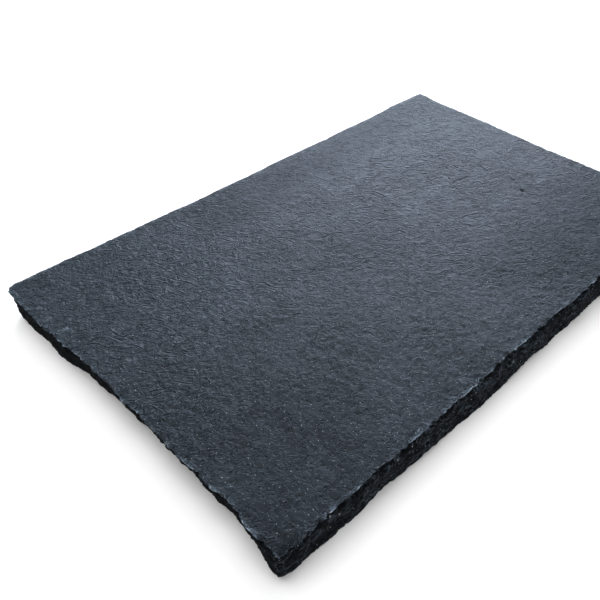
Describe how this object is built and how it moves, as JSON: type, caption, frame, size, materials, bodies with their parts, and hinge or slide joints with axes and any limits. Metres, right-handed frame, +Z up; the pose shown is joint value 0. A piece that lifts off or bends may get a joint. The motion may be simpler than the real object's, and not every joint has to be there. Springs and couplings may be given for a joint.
{
  "type": "limestone tile",
  "caption": "Rectangular black limestone tile with a riven upper face, hand-chiselled broken edges and a flat underside to bed or lay it on.",
  "frame": {"origin": "on the bed face, at the middle of the tile's bounding box", "axes": "+X along the tile, +Y across it, +Z up out of the riven face"},
  "size_m": [0.6106, 0.3868, 0.0313],
  "materials": {
    "limestone": "riven and matt, near-black blue-grey with fine wrinkles and small calcite specks, darker on the broken edges"
  },
  "bodies": {
    "root": {"limestone_tile": "limestone"}
  },
  "joints": []
}
